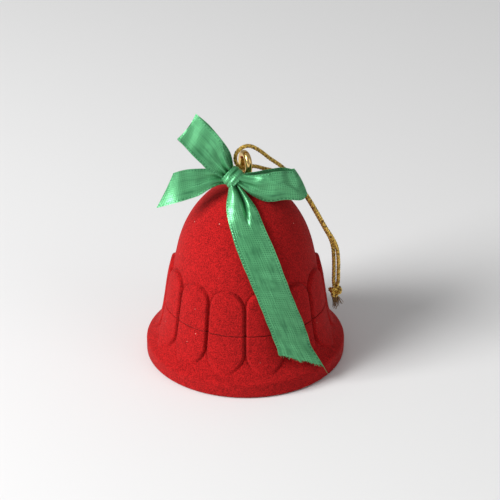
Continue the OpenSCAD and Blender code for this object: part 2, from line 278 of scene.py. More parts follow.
def velvet(name, dark, light, size=0.16):
    """Soft nap with brushed patches."""
    paint = Paint(name, {"Roughness": 0.95, "Specular IOR Level": 0.1, "Sheen Weight": 0.6,
                         "Sheen Roughness": 0.35, "Sheen Tint": light})
    place = paint.place()
    nap = paint.noise(place, size, 3)
    brushed = paint.noise(paint.stretched(place, (1, 0.5, 1)), 5, 2)
    shade = paint.math("ADD", paint.math("MULTIPLY", nap, 0.5), paint.math("MULTIPLY", brushed, 0.6))
    paint.colour(paint.mix(paint.between(shade, 0.35, 0.8), dark, light))
    paint.bump(nap, 0.06)
    return paint.material


def lining(name, dark, light):
    """Thin satin with fine threads that run from the rim to the crown."""
    paint = Paint(name, {"Roughness": 0.34, "Specular IOR Level": 0.5, "Sheen Weight": 0.2})
    across, _ = paint.across_and_along()
    threads = paint.math("SINE", paint.math("MULTIPLY", across, 2 * math.pi / 0.4))
    cloud = paint.noise(paint.place(), 3, 2)
    shade = paint.math("ADD", paint.math("MULTIPLY", threads, 0.06), cloud)
    paint.colour(paint.mix(paint.between(shade, 0.3, 0.7), dark, light))
    paint.bump(threads, 0.01)
    return paint.material


def make_materials():
    return {
        "red_flock": flock("red_flock", (0.17, 0.0025, 0.003, 1), (0.45, 0.009, 0.0095, 1),
                           (0.95, 0.45, 0.35, 1)),
        "underside_flock": flock("underside_flock", (0.2, 0.005, 0.01, 1), (0.5, 0.02, 0.03, 1)),
        "tray_plastic": velvet("tray_flock", (0.6, 0.55, 0.44, 1), (0.86, 0.82, 0.7, 1), 0.25),
        "cushion_velvet": velvet("cushion_velvet", (0.66, 0.6, 0.48, 1), (0.93, 0.89, 0.79, 1)),
        "lining_satin": lining("lining_satin", (0.66, 0.6, 0.48, 1), (0.92, 0.88, 0.78, 1)),
        "hinge_steel": polished("hinge_steel", (0.72, 0.7, 0.66, 1), 0.3),
        "gold_wire": polished("gold_wire", (0.9, 0.62, 0.24, 1), 0.14),
        # The lighter green is the ribbon's own tone and also the tone of its painted highlights.
        "green_ribbon": satin_ribbon("green_ribbon", (0.012, 0.12, 0.045, 1), (0.1, 0.4, 0.17, 1),
                                     (0.65, 1, 0.72, 1)),
        # The gold cord's dark brown is its painted shade between the plies, and also the colour of its
        # random dark patches.
        "gold_cord": yarn("gold_yarn", (0.1, 0.035, 0.005, 1), (1, 0.68, 0.14, 1), 0.55, 0.3),
        "cord_core": yarn("core_yarn", (0.05, 0.02, 0.01, 1), (0.3, 0.16, 0.05, 1), 0.0, 0.7),
    }


# ---------------------------------------------------------------- shape helpers

def curve(points, steps):
    """Catmull-Rom curve through points, with steps between two of them, as the CAD has it."""
    p = np.array(points, float)
    last = len(p) - 1
    line = []
    for i in range(last):
        a, b, c, d = p[max(i - 1, 0)], p[i], p[i + 1], p[min(i + 2, last)]
        for t in np.arange(steps) / steps:
            line.append((2 * b + (c - a) * t + (2 * a - 5 * b + 4 * c - d) * t * t
                         + (3 * b - a - 3 * c + d) * t ** 3) / 2)
    return np.array(line + [p[last]])


def run_of(line):
    """Distance along a line at each of its points."""
    return np.concatenate([[0], np.cumsum(np.linalg.norm(np.diff(line, axis=0), axis=1))])


def spaced(line, places):
    """The points at given distances along a line."""
    run = run_of(line)
    return np.stack([np.interp(places, run, line[:, k]) for k in range(line.shape[1])], axis=1)


def evenly(line, step):
    total = run_of(line)[-1]
    return spaced(line, np.linspace(0, total, max(int(round(total / step)), 2) + 1))


def unit(v):
    return v / np.maximum(np.linalg.norm(v, axis=-1, keepdims=True), 1e-12)


def lattice(rows, wrap_rows=False, wrap_columns=False):
    """Points and quads of a lattice, from an array of rows of points."""
    m, n = rows.shape[:2]
    index = np.arange(m * n).reshape(m, n)
    if wrap_rows:
        index = np.concatenate([index, index[:1]])
    if wrap_columns:
        index = np.concatenate([index, index[:, :1]], axis=1)
    quads = np.stack([index[:-1, :-1], index[:-1, 1:], index[1:, 1:], index[1:, :-1]], axis=-1)
    return rows.reshape(-1, 3), quads.reshape(-1, 4).tolist()


def joined(parts):
    """Several (points, faces) as one."""
    points, faces, count = [], [], 0
    for p, f in parts:
        points.append(p)
        faces += [[k + count for k in face] for face in f]
        count += len(p)
    return np.concatenate(points), faces


def make_piece(name, points, faces, slot, uv=None, merge=0.0, sharp=50, turn_out=True):
    """A smooth mesh object in metres, with its slot's material. uv is one pair for each point."""
    mesh = bpy.data.meshes.new(name)
    mesh.from_pydata((np.array(points) * MM).tolist(), [], faces)
    if uv is not None:
        layer = mesh.uv_layers.new(name="measured")
        corners = np.zeros(len(mesh.loops), int)
        mesh.loops.foreach_get("vertex_index", corners)
        layer.data.foreach_set("uv", np.array(uv, float)[corners].reshape(-1))
    piece = bpy.data.objects.new(name, mesh)
    bpy.context.scene.collection.objects.link(piece)
    mesh.materials.append(materials[slot])
    cleaned(piece, merge, sharp, turn_out)
    return piece


def cleaned(piece, merge=0.0, sharp=50, turn_out=True):
    """Merges doubled points, turns faces outwards, and marks edges sharper than so many degrees."""
    shape = bmesh.new()
    shape.from_mesh(piece.data)
    if merge:
        bmesh.ops.remove_doubles(shape, verts=shape.verts, dist=merge * MM)
    if turn_out:
        bmesh.ops.recalc_face_normals(shape, faces=shape.faces)
    limit = math.radians(sharp)
    for face in shape.faces:
        face.smooth = True
    for edge in shape.edges:
        edge.smooth = not (edge.is_manifold and edge.calc_face_angle(0) > limit)
    shape.to_mesh(piece.data)
    shape.free()


def applied(piece):
    """Swaps the piece's mesh for what its modifiers make of it."""
    bpy.context.view_layer.update()
    graph = bpy.context.evaluated_depsgraph_get()
    old = piece.data
    new = bpy.data.meshes.new_from_object(piece.evaluated_get(graph))
    piece.modifiers.clear()
    piece.data = new
    new.name = piece.name
    bpy.data.meshes.remove(old)


def remeshed(piece, size, smoothing=0):
    """One skin over the whole piece, in cells of size millimetres, done at a larger scale."""
    up = 100
    piece.data.transform(((up, 0, 0, 0), (0, up, 0, 0), (0, 0, up, 0), (0, 0, 0, 1)))
    skin = piece.modifiers.new("skin", "REMESH")
    skin.mode = "VOXEL"
    skin.voxel_size = size * MM * up
    if smoothing:
        soften = piece.modifiers.new("soften", "SMOOTH")
        soften.factor = 0.5
        soften.iterations = smoothing
    applied(piece)
    down = 1 / up
    piece.data.transform(((down, 0, 0, 0), (0, down, 0, 0), (0, 0, down, 0), (0, 0, 0, 1)))
    cleaned(piece, sharp=60)


def cut(piece, low, high):
    """Takes a box between two corners out of the piece."""
    corners = [[(low, high)[i][0], (low, high)[j][1], (low, high)[k][2]]
               for i in (0, 1) for j in (0, 1) for k in (0, 1)]
    faces = [(0, 1, 3, 2), (4, 6, 7, 5), (0, 4, 5, 1), (2, 3, 7, 6), (0, 2, 6, 4), (1, 5, 7, 3)]
    mesh = bpy.data.meshes.new("cutter")
    mesh.from_pydata((np.array(corners) * MM).tolist(), [], faces)
    cutter = bpy.data.objects.new("cutter", mesh)
    bpy.context.scene.collection.objects.link(cutter)
    step = piece.modifiers.new("cut", "BOOLEAN")
    step.operation = "DIFFERENCE"
    step.object = cutter
    step.solver = "MANIFOLD"
    applied(piece)
    bpy.data.objects.remove(cutter)
    bpy.data.meshes.remove(mesh)
    cleaned(piece, sharp=40)


def rounded(outline, radius, steps=4):
    """A closed outline of [radius, height] with its corners rounded, except on the axis."""
    p = np.array(outline, float)
    out = []
    for i, b in enumerate(p):
        a, c = p[i - 1], p[(i + 1) % len(p)]
        if b[0] < 1e-6:
            out.append(b)
            continue
        r = min(radius, 0.45 * np.linalg.norm(a - b), 0.45 * np.linalg.norm(c - b))
        start, end = b + unit(a - b) * r, b + unit(c - b) * r
        for t in np.arange(steps + 1) / steps:
            out.append((1 - t) ** 2 * start + 2 * t * (1 - t) * b + t * t * end)
    return np.array(out)


def turned(name, outline, slot, columns=128, ripple=None):
    """A closed outline of [radius, height] turned round the axis. ripple(radius, height, angle) moves it."""
    line = evenly(np.concatenate([outline, outline[:1]]), 0.6)[:-1] if ripple else np.array(outline)
    angle = np.arange(columns) / columns * 2 * math.pi
    r, z, a = line[:, :1], line[:, 1:], angle[None, :]
    if ripple:
        r = r + ripple(r, z, a)
    rows = np.stack([r * np.sin(a), -r * np.cos(a), z + 0 * a], axis=-1)
    return make_piece(name, *lattice(rows, True, True), slot, merge=0.01, sharp=35)


def frames_along(line):
    """Two side directions at each point of a line, carried along without twist."""
    tangent = unit(np.gradient(line, axis=0))
    side = unit(np.cross(tangent[0], [0.3, 1, 0.2]))
    sides = []
    for t in tangent:
        side = unit(side - np.dot(side, t) * t)
        sides.append(side)
    sides = np.array(sides)
    return sides, np.cross(tangent, sides)


def tube(line, radius, sides=8, start_turn=0.0, turn_rate=0.0, offset=0.0):
    """Capped tube along a line, or one ply that winds round it: (points, faces, uv).

    radius may be a list, one for each point. uv is the share round the ply and the distance along.
    """
    side, other = frames_along(line)
    run = run_of(line)
    turn = start_turn + run * turn_rate
    outward = np.cos(turn)[:, None] * side + np.sin(turn)[:, None] * other
    centre = line + outward * offset
    tangent = unit(np.gradient(centre, axis=0))
    outward = unit(outward - (outward * tangent).sum(1, keepdims=True) * tangent)
    around = np.cross(tangent, outward)
    share = np.arange(sides + 1) / sides
    angle = share * 2 * math.pi
    size = np.broadcast_to(np.array(radius, float), len(line))[:, None, None]
    rows = centre[:, None] + size * (np.cos(angle)[None, :, None] * outward[:, None]
                                     + np.sin(angle)[None, :, None] * around[:, None])
    points, faces = lattice(rows)
    uv = np.stack([np.broadcast_to(share, (len(line), sides + 1)),
                   np.broadcast_to(run[:, None], (len(line), sides + 1))], axis=-1).reshape(-1, 2)
    last = (len(line) - 1) * (sides + 1)
    faces.append(list(range(sides)))
    faces.append([last + k for k in range(sides)])
    return points, faces, uv


def tubes_piece(name, tubes, slot):
    """One piece from several tubes."""
    points, faces = joined([(p, f) for p, f, _ in tubes])
    return make_piece(name, points, faces, slot, uv=np.concatenate([t[2] for t in tubes]), merge=0.004)


def plied(line, diameter, plies=4, pitch=3.6, sides=8):
    """The plies of a twisted cord along a line."""
    half = diameter / 2
    ply_r = half / (1 + 1 / math.sin(math.pi / plies))
    return [tube(line, ply_r * 1.06, sides, 2 * math.pi * k / plies, 2 * math.pi / pitch, half - ply_r)
            for k in range(plies)]


# ---------------------------------------------------------------- hanging cord

CORD_D = 1.2
CORD_UPPER = [[0, 0, 60.3], [-1.9, -0.9, 61.2], [-2.9, -1.3, 63.5], [-2.4, -1, 65.8],
    [-0.5, -0.1, 67.1], [1.6, 0.8, 66.9], [4.2, 1.8, 65], [7.2, 2.8, 62], [10.7, 3.7, 58.9],
    [14.3, 3.4, 55.2], [18.1, 2.2, 50.2], [21.1, 1.2, 45.3], [23.7, 0.4, 40.6], [26, 0, 36.8],
    [27.2, -0.1, 33.9], [27.7, -0.1, 30.2], [27.8, 0, 25.8], [27.8, 0.1, 22.5], [27.4, 0.2, 20.5]]
CORD_LOWER = [[0, 0, 60.3], [1.3, 0.6, 60.5], [3, 1.4, 60.1], [5.4, 2.7, 58.8],
    [9.5, 4.8, 56.6], [13.9, 4.8, 54.2], [17.8, 3.6, 49.4], [20.8, 2.6, 44.5], [23.4, 1.8, 39.8],
    [25.2, 1.3, 36.5], [26.1, 1, 33.4], [26.4, 0.7, 29.7], [26.5, 0.6, 25.8], [26.5, 0.7, 22.5],
    [26.7, 0.6, 20.5]]
CORD_ENDS = [
    [[26.8, -0.5, 16.9], [27.2, -1, 15.2], [27, -1.2, 13.5]],
    [[27.4, 1, 16.9], [28.1, 1.5, 15.3], [28.3, 1.6, 13.7]]]
KNOT_AT = np.array([27, 0.4, 18.8])


def cord_strand(name, route, node):
    line = evenly(curve(route, 12), 0.2)
    strand = tubes_piece(name, plied(line, CORD_D), "gold_cord")
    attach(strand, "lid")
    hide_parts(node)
    return strand, evenly(curve(route, 12), 0.5) * MM


def cord_knot():
    """The two strands tied together: a trefoil of cord round a dark middle."""
    t = np.linspace(0, 2 * math.pi, 90)
    size = 0.56
    loop = size * np.stack([np.sin(t) + 2 * np.sin(2 * t), -1.1 * np.sin(3 * t),
                            np.cos(t) - 2 * np.cos(2 * t)], axis=1)
    parts = plied(evenly(loop + KNOT_AT, 0.15), CORD_D * 0.98)
    knot = tubes_piece("cord_knot_tied", parts, "gold_cord")
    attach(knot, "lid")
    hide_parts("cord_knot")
    return knot


def cord_frays():
    """Loose core fibres below the knot, in two bunches."""
    rng = random.Random(5)
    parts = []
    for route in CORD_ENDS:
        line = curve([KNOT_AT + [0, 0, -0.8]] + route, 4)
        for _ in range(26):
            lean = np.array([rng.gauss(0, 0.55), rng.gauss(0, 0.5), 0])
            length = rng.uniform(0.55, 1.0)
            share = np.linspace(0, 1, len(line))[:, None]
            curl = np.array([rng.gauss(0, 0.25), rng.gauss(0, 0.25), 0])
            curl = curl * np.sin(share * 5 + rng.random() * 6)
            start = np.array([rng.gauss(0, 0.18), rng.gauss(0, 0.18), 0])
            fibre = line + start + lean * share ** 1.5 + curl * share
            fibre = spaced(fibre, np.linspace(0, run_of(fibre)[-1] * length, 9))
            thin = np.linspace(0.13, 0.07, 9)
            parts.append(tube(fibre, thin, 5))
    frays = tubes_piece("cord_frayed_ends", parts, "cord_core")
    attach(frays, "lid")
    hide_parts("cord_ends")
    return frays


def add_cords():
    upper, upper_path = cord_strand("cord_strand_upper", CORD_UPPER, "cord_upper")
    lower, lower_path = cord_strand("cord_strand_lower", CORD_LOWER, "cord_lower")
    knot, frays = cord_knot(), cord_frays()


# ---------------------------------------------------------------- flocked shells

# Outline of the bell's wall without its petals, as [radius, height] from crown to foot
WIDE = FOOT_R / 30
TALL = CROWN_Z / 55.5
BELL_MARKS = [[0, 55.5], [5.2, 54.6], [10.5, 51.8], [14.8, 47.1], [17.7, 42.2], [19.6, 37.2],
              [20.9, 31.6], [22.4, 24.5], [23.5, 17.2], [24.4, 12], [25.6, 8.8], [27, 6.8], [28.5, 5.5]]
BAND_Z = 4.8 * TALL
SHANK_R = 1.15

PETALS = 13
PETAL_RELIEF = 0.9
PETAL_EDGE = 0.7
PETAL_COLUMNS = 40
GROOVE_W = 0.7
PETAL_TOP_Z = 30.4 * TALL
PETAL_LOW_Z = 6 * TALL
PETAL_TOP_R = math.pi * 22.4 * WIDE / PETALS - GROOVE_W / 2
PETAL_LOW_R = math.pi * 24.7 * WIDE / PETALS - GROOVE_W / 2
LIP = 0.3
SEAM_GAP = 0.045


def ease(value, low, high):
    """0 below low, 1 above high, smooth between them."""
    t = np.clip((value - low) / (high - low), 0, 1)
    return t * t * (3 - 2 * t)


def petal_columns():
    """Angles round the bell, closer together in the grooves, where 0 is the front."""
    share = np.arange(PETAL_COLUMNS) / PETAL_COLUMNS
    share = share - 0.65 * np.sin(2 * math.pi * share) / (2 * math.pi)
    return (np.arange(PETALS)[:, None] + share[None, :]).reshape(-1) * 2 * math.pi / PETALS


def petal_relief(radius, height, angle):
    """How far the wall stands out at a height and angle: pillowed petals and the grooves round them."""
    pitch = 2 * math.pi / PETALS
    x = np.abs(radius * np.sin((angle / pitch) % 1 * pitch - pitch / 2))
    low, top = PETAL_LOW_Z + PETAL_LOW_R, PETAL_TOP_Z - PETAL_TOP_R
    y = height - low
    lean = (PETAL_LOW_R - PETAL_TOP_R) / (top - low)
    side = math.sqrt(1 - lean * lean)
    beside = x * side + y * lean - PETAL_LOW_R
    below = np.hypot(x, y) - PETAL_LOW_R
    above = np.hypot(x, height - top) - PETAL_TOP_R
    k = y * side - x * lean
    outside = np.where(k < 0, below, np.where(k > side * (top - low), above, beside))
    t = np.clip(-outside / PETAL_EDGE, 0, 1)
    pillow = np.sqrt(1 - (1 - t) ** 2) + 0.18 * np.clip(-outside / PETAL_TOP_R, 0, 1)
    groove = 0.3 * np.exp(-(outside / 0.4) ** 2)
    fade = 0.5 + 0.5 * ease(height, PETAL_LOW_Z, PETAL_LOW_Z + 5)
    return (PETAL_RELIEF * pillow - groove) * fade


def bell_line():
    return evenly(curve(np.array(BELL_MARKS) * [WIDE, TALL], 12), 0.1)


def side_of(line):
    """Outward direction at each point of an outline that runs from the crown down."""
    t = unit(np.gradient(line, axis=0))
    return np.stack([-t[:, 1], t[:, 0]], axis=1)


def part_of(line, low, high):
    return line[(line[:, 1] >= low) & (line[:, 1] <= high)]


def rows_between(total, fine_from, fine, coarse):
    """Distances along an outline: coarse up to fine_from, then fine, then close together at the lip."""
    first = np.arange(0, fine_from, coarse)
    second = np.arange(fine_from, total - LIP, fine)
    last = total - LIP * (1 - np.sin(np.linspace(0, 1, 7) * math.pi / 2))
    return np.concatenate([first, second, last])


def outer_rows(line, places, lip_at):
    """The flocked face: the outline's points at the given places, with petals and a rounded lip at one."""
    run = run_of(line)
    at = spaced(line, places)
    out = np.stack([np.interp(places, run, side_of(line)[:, k]) for k in (0, 1)], 1)
    to_lip = np.abs(places - lip_at)
    inset = LIP * (1 - np.sqrt(np.clip(1 - (1 - np.clip(to_lip / LIP, 0, 1)) ** 2, 0, 1)))
    angle = petal_columns()[None, :]
    r, z = at[:, :1], at[:, 1:]
    push = petal_relief(r, z, angle) * ease(z, 5.2, 6.6) - inset[:, None]
    return np.stack([(r + push * out[:, :1]) * np.sin(angle), -(r + push * out[:, :1]) * np.cos(angle),
                     z + push * out[:, 1:]], axis=-1)


def plain_rows(line):
    """An outline turned round the axis, with the petals' columns."""
    angle = petal_columns()[None, :]
    r, z = line[:, :1], line[:, 1:]
    return np.stack([r * np.sin(angle), -r * np.cos(angle), z + 0 * angle], axis=-1)


def open_for_hinge(shell):
    """Recess behind the parting line for the barrel, and the leaves' pocket."""
    half = HINGE_W / 2
    cut(shell, (-half - 0.4, HINGE_Y - 2.7, HINGE_Z - 1.7), (half + 0.4, HINGE_Y + 7.3, HINGE_Z + 1.7))
    cut(shell, (-half - 0.02, HINGE_Y - 1.72, HINGE_Z - 4.72), (half + 0.02, HINGE_Y - 1.08, HINGE_Z + 3.62))


def lid_shell():
    line = part_of(bell_line(), SEAM_Z + SEAM_GAP, CROWN_Z)
    line = line[line[:, 0] >= SHANK_R]
    total = run_of(line)[-1]
    petals_from = total - (PETAL_TOP_Z + 1 - SEAM_Z) * 1.03
    rows = [outer_rows(line, rows_between(total, petals_from, 0.28, 0.9), total)]
    inner = evenly((line - side_of(line) * WALL)[::-1], 1.2)
    rows.append(plain_rows(inner[inner[:, 0] >= SHANK_R]))
    shell = make_piece("lid_shell_flocked", *lattice(np.concatenate(rows), True, True), "red_flock",
                       sharp=60)
    open_for_hinge(shell)
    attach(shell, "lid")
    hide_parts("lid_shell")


def base_shell():
    line = part_of(bell_line(), BAND_Z, SEAM_Z - SEAM_GAP)
    total = run_of(line)[-1]
    lip = LIP * (1 - np.cos(np.linspace(0, 1, 7) * math.pi / 2))
    outside = outer_rows(line, np.concatenate([lip, np.arange(LIP + 0.28, total, 0.28)]), 0)
    inner = part_of(line - side_of(line) * WALL, BAND_Z + 1, SEAM_Z - SEAM_GAP)[::-1]
    band = rounded([[FOOT_R - 0.9, BAND_Z + 0.5], [FOOT_R, BAND_Z - 0.4], [FOOT_R, 0.0],
                    [PLATE_R + 0.02, 0.0], [PLATE_R + 0.02, BAND_Z - 0.6]], 0.7, 6)
    band = evenly(band[7:], 0.35)
    rows = [outside, plain_rows(band), plain_rows(evenly(inner, 1.2))]
    shell = make_piece("base_shell_flocked", *lattice(np.concatenate(rows), True, True), "red_flock",
                       sharp=60)
    open_for_hinge(shell)
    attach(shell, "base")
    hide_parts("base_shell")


# ---------------------------------------------------------------- eyelet

EYELET_Z = CROWN_Z + 6.2
EYELET_STRAIGHT = 1.4
EYELET_RING_R = 2.5
EYELET_WIRE_R = 1.05
EYELET_TURN = math.radians(24)


def eyelet():
    """Ring and shank run into each other, in polished gold."""
    t = np.linspace(0, 2 * math.pi, 121)[:-1]
    across = np.array([-math.sin(EYELET_TURN), math.cos(EYELET_TURN), 0])
    out = np.cos(t)[:, None] * across + np.sin(t)[:, None] * [0, 0, 1]
    centre = EYELET_RING_R * out + (EYELET_STRAIGHT / 2 * np.tanh(3 * np.sin(t)))[:, None] * [0, 0, 1]
    square = np.cross(across, [0, 0, 1])
    a = np.arange(32) / 32 * 2 * math.pi
    rows = ([0, 0, EYELET_Z] + centre[:, None] + EYELET_WIRE_R
            * (np.cos(a)[None, :, None] * out[:, None] + np.sin(a)[None, :, None] * square))
    ring = lattice(rows, True, True)
    high = EYELET_Z - EYELET_RING_R - EYELET_STRAIGHT / 2
    line = np.array([[0, 0, z] for z in np.linspace(CROWN_Z - 5, high, 60)])
    wide = EYELET_WIRE_R + 0.55 * ease(line[:, 2], high - 1.6, high)
    shank = tube(line, wide, 32)
    points, faces = joined([ring, shank[:2]])
    piece = make_piece("eyelet_gold", points, faces, "gold_wire", merge=0.004)
    remeshed(piece, 0.14, 6)
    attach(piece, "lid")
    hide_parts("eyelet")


def eyelet_collar():
    outline = rounded([[EYELET_WIRE_R, CROWN_Z - 0.1], [COLLAR_R, CROWN_Z - 0.1],
                       [COLLAR_R - 0.3, CROWN_Z + 0.6], [EYELET_WIRE_R, CROWN_Z + 0.9]], 0.25)
    piece = turned("eyelet_collar_gold", outline, "gold_wire", 96)
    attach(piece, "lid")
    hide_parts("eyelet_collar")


# ---------------------------------------------------------------- ribbon bow

RIBBON_W = 10
RIBBON_T = 0.22
LOOP_LEFT = [
    [[-3.5, -4.6, 61.5], [-4.7, -5.2, 58.5]], [[-4.9, -5.4, 64.5], [-7.3, -6.2, 60.6]],
    [[-6.1, -5, 68.3], [-10.1, -6.4, 62.5]], [[-7.2, -4.2, 71.8], [-13.3, -6.2, 65.3]],
    [[-10.4, -3, 74.8], [-16.1, -5, 67.9]], [[-13.5, -1.4, 77.6], [-18.9, -3.4, 70.5]],
    [[-13.9, -0.2, 77.4], [-19.2, -2.2, 70.1]], [[-10.5, 0.8, 73.8], [-16, -1.8, 66.5]],
    [[-6.3, 0.8, 68.2], [-13.1, -2.8, 63.5]], [[-4.4, 0.4, 65.1], [-10.7, -3.8, 61.3]],
    [[-3.6, -1.6, 62.5], [-7.1, -4.2, 59.5]], [[-3.1, -3.8, 60.9], [-4.7, -4.5, 58.5]]]
LOOP_RIGHT = [
    [[-2.4, -5.8, 61], [-2.4, -6.2, 58.5]], [[2.8, -7, 61.4], [1.3, -7.4, 55.6]],
    [[7.3, -7.6, 62.5], [5.8, -7.8, 53.4]], [[10.5, -7, 62.5], [11.7, -7.6, 53.8]],
    [[13.5, -4.6, 61.6], [16.3, -6, 52.9]], [[14.1, -2.8, 61.4], [18.1, -4.4, 53.9]],
    [[13.3, -1.4, 60.7], [16.7, -3.4, 53.3]], [[10.2, -1.6, 61.2], [11.7, -3.4, 53.9]],
    [[5.6, -3, 61.1], [6.2, -4.4, 55.6]], [[-1.8, -4.9, 60.7], [-1.8, -5.3, 58.1]]]
TAIL_LEFT = [
    [[-4.9, -4.5, 59.9], [-4.7, -5, 57.4]], [[-7.3, -4.6, 61], [-7.1, -5.6, 57.7]],
    [[-9.7, -4.8, 62.2], [-10.3, -6.8, 56.8]], [[-13, -5.2, 62.6], [-13.4, -7.6, 55.1]],
    [[-16.1, -5.6, 62.6], [-17, -8.2, 54]], [[-18.6, -5.6, 62.1], [-20.9, -8.2, 52.8]],
    [[-20.8, -5, 61.1], [-25.7, -7.4, 51]]]
TAIL_FRONT = [
    [[-2.4, -6.2, 58.7], [-4.5, -6.2, 58.1]], [[0, -7.6, 56], [-4.9, -7.4, 55.7]],
    [[3.2, -10.6, 52.5], [-5.4, -10.4, 52.4]], [[5.6, -14.2, 48], [-4.3, -14.8, 48]],
    [[8.6, -17, 41.9], [-2.2, -18.6, 42.4]], [[11.3, -18.8, 34.8], [0.8, -21.8, 35.9]],
    [[14.1, -19.4, 27], [3.8, -23.6, 28.8]], [[17.2, -19.2, 18.6], [6.7, -24.8, 21.2]],
    [[19.5, -20.1, 11.6], [9.1, -25.4, 14.6]], [[23.1, -21.5, 5.8], [9.8, -26, 12.3]]]
RIBBON_KNOT_AT = np.array([-3.5, -5.2, 59.9])


def ribbon_rows(stations, lift, columns=33, steps=12):
    """Rows across a ribbon. lift(along, share, width) stands it off its flat strip, in millimetres."""
    right = curve([s[0] for s in stations], steps)
    left = curve([s[1] for s in stations], steps)
    middle = (right + left) / 2
    normal = unit(np.cross(np.gradient(middle, axis=0), right - left))
    share = np.linspace(0, 1, columns)
    width = np.linalg.norm(right - left, axis=1)
    along = run_of(middle)
    flat = right[:, None] * (1 - share[None, :, None]) + left[:, None] * share[None, :, None]
    stand = lift(along[:, None], share[None, :], width[:, None])
    stand = stand + 0.14 * np.sin(along[:, None] * 1.05 + 2.6 * share[None, :]) * ease(along[:, None], 2, 8)
    return flat + normal[:, None] * stand[:, :, None], along, share


def ribbon(name, rows, along, share, node):
    """A thin sheet with measured coordinates, made as thick as satin."""
    uv = np.stack(np.broadcast_arrays(share[None, :] * RIBBON_W, along[:, None]), axis=-1).reshape(-1, 2)
    points, faces = lattice(rows)
    piece = make_piece(name, points, faces, "green_ribbon", uv=uv, turn_out=False)
    thick = piece.modifiers.new("thick", "SOLIDIFY")
    thick.thickness = RIBBON_T * MM
    thick.offset = 0
    applied(piece)
    cleaned(piece, sharp=50)
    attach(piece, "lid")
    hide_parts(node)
    return piece


def bow_of(share, height):
    return 4 * height * share * (1 - share)


def gathers(along, share, width, waves, fade, phase=0.0, most=0.5):
    """Pleats that hold the ribbon's spare width near the knot."""
    spare = np.sqrt(np.maximum((RIBBON_W / width) ** 2 - 1, 0) * 2) * width / (2 * math.pi * waves)
    depth = np.minimum(spare, most) * np.exp(-(along / fade) ** 2)
    return depth * np.cos(2 * math.pi * waves * share + phase)


def loop_left():
    def lift(along, share, width):
        total = along[-1]
        ends = np.minimum(along, total - along)
        return bow_of(share, 0.6) + gathers(ends, share, width, 2.5, 7, 0.6)
    piece = ribbon("ribbon_loop_left_satin", *ribbon_rows(LOOP_LEFT, lift), "ribbon_loop_left")


def loop_right():
    """Loop with a soft diagonal crease in its front layer; above the crease the satin leans back."""
    def lift(along, share, width):
        total = along[-1]
        ends = np.minimum(along, total - along)
        crease = 0.17 + 0.51 * (along - 9.5) / 7
        near = ease(along, 7, 10) * (1 - ease(along, 16, 19))
        ridge = 0.45 * np.exp(-((share - crease) / 0.13) ** 2) - 0.5 * ease(crease - share, 0, 0.5)
        return bow_of(share, 0.5) + gathers(ends, share, width, 2, 7, 2.0) + near * ridge
    piece = ribbon("ribbon_loop_right_satin", *ribbon_rows(LOOP_RIGHT, lift), "ribbon_loop_right")


def tail_left():
    def lift(along, share, width):
        return bow_of(share, 0.5) + gathers(along, share, width, 2, 8, 1.0)
    piece = ribbon("ribbon_tail_left_satin", *ribbon_rows(TAIL_LEFT, lift), "ribbon_tail_left")


def tail_front():
    """The long tail: two lobes below the knot with a deep fold between them, then nearly flat."""
    def lift(along, share, width):
        near = 1 - ease(along, 3, 16)
        split = 0.33 + 0.12 * ease(along, 4, 14)
        fold = 1.7 * np.exp(-((share - split) * width / 0.6) ** 2)
        right = 0.9 * np.sin(math.pi * np.clip(share / split, 0, 1))
        left = 1.2 * np.sin(math.pi * np.clip((share - split) / (1 - split), 0, 1))
        return bow_of(share, 0.6) + (right + left - fold) * near
    rows, along, share = ribbon_rows(TAIL_FRONT, lift, 57)
    rng = np.random.default_rng(3)
    ragged = np.interp(share, np.linspace(0, 1, 17), rng.normal(0, 0.22, 17))
    way = unit(rows[-1] - rows[-4])
    rows[-1] += way * ragged[:, None]
    rows[-2] += way * ragged[:, None] * 0.5
    piece = ribbon("ribbon_tail_front_satin", rows, along, share, "ribbon_tail_front")
    threads = frayed_threads(rows[-1], way, rng)


def frayed_threads(edge, way, rng):
    """Short threads of the ribbon's satin that stand out of the cut end, with longer ones at its right
    corner.
    """
    parts = []
    for share in np.sort(rng.random(46)) ** 1.3:
        k = share * (len(edge) - 1)
        i = min(int(k), len(edge) - 2)
        start = edge[i] + (edge[i + 1] - edge[i]) * (k - i)
        length = rng.uniform(0.25, 0.7) + (0.9 if share < 0.04 else 0)
        lean = rng.normal(0, 0.25, 3)
        t = np.linspace(-0.4, 1, 6)[:, None]
        parts.append(tube(start + (way[i] * t + lean * np.maximum(t, 0) ** 2) * length, 0.06, 4))
    threads = tubes_piece("ribbon_frayed_threads", parts, "green_ribbon")
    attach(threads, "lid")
    return threads


